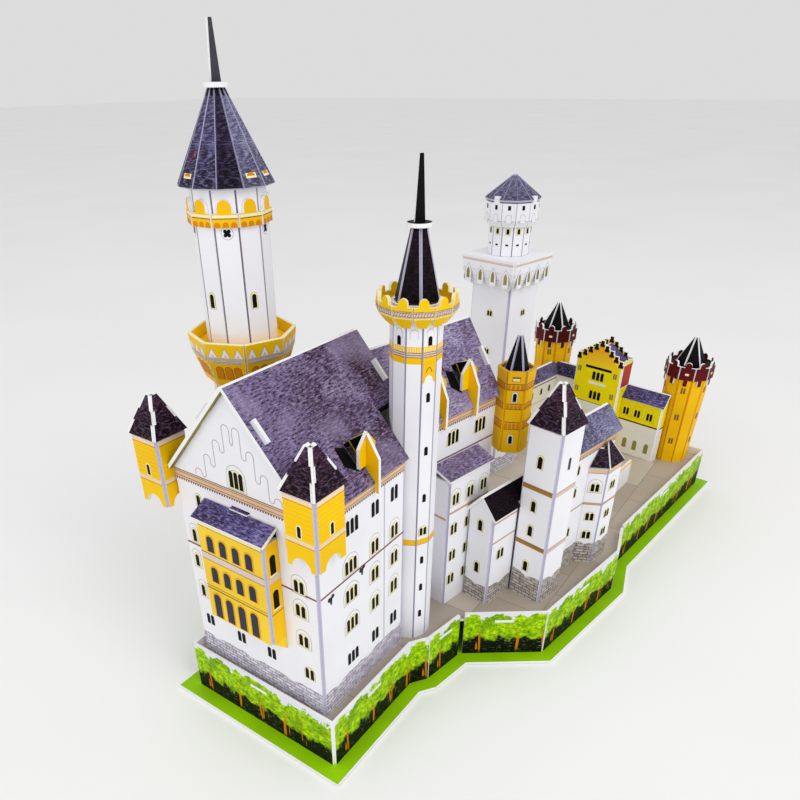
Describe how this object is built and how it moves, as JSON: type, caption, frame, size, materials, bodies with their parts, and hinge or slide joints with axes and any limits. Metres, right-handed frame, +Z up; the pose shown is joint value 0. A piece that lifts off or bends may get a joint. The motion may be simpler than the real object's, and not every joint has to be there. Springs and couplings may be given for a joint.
{
  "type": "foam-board puzzle castle",
  "caption": "Slot-together castle model of printed foam board: gabled halls, towers and turrets on a hedge-fenced base.",
  "frame": {"origin": "middle of the base plate's bounding box, on its underside", "axes": "+Z up; +X from the tall gable wall towards the gatehouse, along the object's length; +Y towards the long hedge wall at the back"},
  "size_m": [0.5016, 0.243, 0.3698],
  "materials": {
    "grass_board": "printed foam board, satin",
    "paving_board": "printed foam board, satin",
    "hedge_board": "printed foam board, satin",
    "plain_board": "printed foam board, satin",
    "white_board": "printed foam board, satin",
    "slate_board": "printed foam board, satin",
    "dark_slate_board": "printed foam board, satin",
    "golden_board": "printed foam board, satin",
    "orange_board": "printed foam board, satin",
    "yellow_board": "printed foam board, satin",
    "burgundy_board": "printed foam board, satin"
  },
  "bodies": {
    "root": {"base_plate": "grass_board", "bay_roof": "dark_slate_board", "bay_walls": "white_board", "deck": "paving_board", "deck_rib_long": "plain_board", "deck_ribs_cross": "plain_board", "dormer_fins": "orange_board", "dormer_fronts": "golden_board", "east_hall_roof": "slate_board", "east_hall_walls": "white_board", "fence_north": "hedge_board", "fence_south": "hedge_board", "fence_south_east": "hedge_board", "fence_south_west": "hedge_board", "front_tower_roof": "dark_slate_board", "front_tower_walls": "white_board", "gabled_annex_roof": "dark_slate_board", "gabled_annex_walls": "white_board", "gate_tower_cones": "dark_slate_board", "gate_tower_crowns": "burgundy_board", "gatehouse_roof": "dark_slate_board", "gatehouse_walls": "yellow_board", "hanging_turret_cone": "dark_slate_board", "hanging_turret_walls": "orange_board", "lean_to_roof": "slate_board", "lean_to_walls": "white_board", "loggia_roof": "slate_board", "loggia_walls": "golden_board", "north_gate_tower_shaft": "orange_board", "north_turret_roof": "dark_slate_board", "north_turret_walls": "golden_board", "north_wing_roof": "slate_board", "north_wing_walls": "yellow_board", "south_gate_tower_shaft": "orange_board", "south_hall_roof": "slate_board", "south_hall_walls": "white_board", "south_turret_roof": "dark_slate_board", "south_turret_walls": "golden_board", "south_wing_back_wall": "yellow_board", "south_wing_roof": "slate_board", "south_wing_walls": "yellow_board", "stair_tower_cone": "dark_slate_board", "stair_tower_crown": "golden_board", "stair_tower_finial": "dark_slate_board", "stair_tower_shaft": "white_board", "tall_tower_balcony": "golden_board", "tall_tower_balcony_floor": "plain_board", "tall_tower_cone": "slate_board", "tall_tower_crown": "golden_board", "tall_tower_finial": "dark_slate_board", "tall_tower_shaft": "white_board", "terrace_wall": "white_board", "west_hall_cross_wall": "white_board", "west_hall_roof": "slate_board", "west_hall_walls": "white_board", "white_tower_drum": "white_board", "white_tower_gallery": "white_board", "white_tower_ring": "white_board", "white_tower_roof": "slate_board", "white_tower_shaft": "white_board"}
  },
  "joints": []
}
